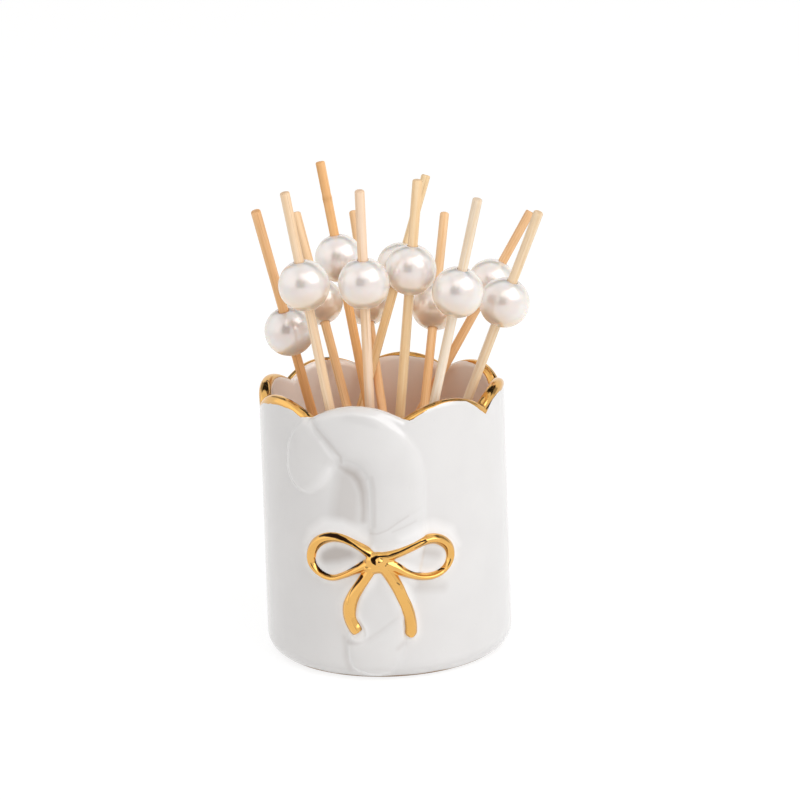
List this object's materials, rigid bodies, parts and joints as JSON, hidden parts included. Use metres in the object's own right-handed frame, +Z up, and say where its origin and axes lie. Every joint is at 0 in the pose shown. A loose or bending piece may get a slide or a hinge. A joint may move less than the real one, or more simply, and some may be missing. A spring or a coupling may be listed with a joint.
{
  "type": "toothpick holder",
  "caption": "Round ceramic cup with a petal rim and a candy cane and bow in relief, holding bamboo picks that each carry a pearl bead.",
  "frame": {"origin": "centre of the cup's foot, on the surface that it stands on", "axes": "+Z up through the cup's mouth, -Y towards the decorated front, +X to the right as seen from the front"},
  "size_m": [0.0704, 0.0815, 0.1194],
  "materials": {
    "white_glaze": "white gloss glaze over stoneware, unglazed at the foot",
    "gold_lustre": "fired gold lustre over the glaze, mirror bright",
    "bamboo_pale": "pale bamboo, sanded",
    "bamboo_tan": "tan bamboo, sanded",
    "pearl": "imitation pearl, nacreous coat"
  },
  "bodies": {
    "root": {"cup": "white_glaze", "rim_gilding": "gold_lustre", "candy_cane": "white_glaze", "bow_knot": "gold_lustre", "bow_left_loop": "gold_lustre", "bow_right_loop": "gold_lustre", "bow_left_tail": "gold_lustre", "bow_right_tail": "gold_lustre"},
    "pick_1": {"pick_1_stick": "bamboo_tan", "pick_1_bead": "pearl"},
    "pick_2": {"pick_2_stick": "bamboo_pale", "pick_2_bead": "pearl"},
    "pick_3": {"pick_3_stick": "bamboo_tan", "pick_3_bead": "pearl"},
    "pick_4": {"pick_4_stick": "bamboo_tan", "pick_4_bead": "pearl"},
    "pick_5": {"pick_5_stick": "bamboo_tan", "pick_5_bead": "pearl"},
    "pick_6": {"pick_6_stick": "bamboo_pale", "pick_6_bead": "pearl"},
    "pick_7": {"pick_7_stick": "bamboo_tan", "pick_7_bead": "pearl"},
    "pick_8": {"pick_8_stick": "bamboo_pale", "pick_8_bead": "pearl"},
    "pick_9": {"pick_9_stick": "bamboo_tan", "pick_9_bead": "pearl"},
    "pick_10": {"pick_10_stick": "bamboo_pale", "pick_10_bead": "pearl"},
    "pick_11": {"pick_11_stick": "bamboo_tan", "pick_11_bead": "pearl"},
    "pick_12": {"pick_12_stick": "bamboo_pale", "pick_12_bead": "pearl"}
  },
  "joints": [
    {"name": "pick_1_lift", "type": "slide", "parent": "root", "child": "pick_1", "axis": [-0.1887, -0.2978, 0.9358], "range_m": [0, 0.068]},
    {"name": "pick_2_lift", "type": "slide", "parent": "root", "child": "pick_2", "axis": [-0.1542, -0.1013, 0.9828], "range_m": [0, 0.068]},
    {"name": "pick_3_lift", "type": "slide", "parent": "root", "child": "pick_3", "axis": [-0.2151, 0.4944, 0.8422], "range_m": [0, 0.068]},
    {"name": "pick_4_lift", "type": "slide", "parent": "root", "child": "pick_4", "axis": [-0.1548, 0.0398, 0.9871], "range_m": [0, 0.068]},
    {"name": "pick_5_lift", "type": "slide", "parent": "root", "child": "pick_5", "axis": [-0.1046, 0.5419, 0.8339], "range_m": [0, 0.068]},
    {"name": "pick_6_lift", "type": "slide", "parent": "root", "child": "pick_6", "axis": [-0.0088, -0.1679, 0.9858], "range_m": [0, 0.068]},
    {"name": "pick_7_lift", "type": "slide", "parent": "root", "child": "pick_7", "axis": [0.3049, 0.1963, 0.9319], "range_m": [0, 0.068]},
    {"name": "pick_8_lift", "type": "slide", "parent": "root", "child": "pick_8", "axis": [0.1023, -0.0711, 0.9922], "range_m": [0, 0.068]},
    {"name": "pick_9_lift", "type": "slide", "parent": "root", "child": "pick_9", "axis": [0.1377, 0.5397, 0.8305], "range_m": [0, 0.068]},
    {"name": "pick_10_lift", "type": "slide", "parent": "root", "child": "pick_10", "axis": [0.2154, -0.1723, 0.9612], "range_m": [0, 0.068]},
    {"name": "pick_11_lift", "type": "slide", "parent": "root", "child": "pick_11", "axis": [0.5096, 0.0958, 0.855], "range_m": [0, 0.068]},
    {"name": "pick_12_lift", "type": "slide", "parent": "root", "child": "pick_12", "axis": [0.3364, -0.2215, 0.9153], "range_m": [0, 0.068]}
  ]
}
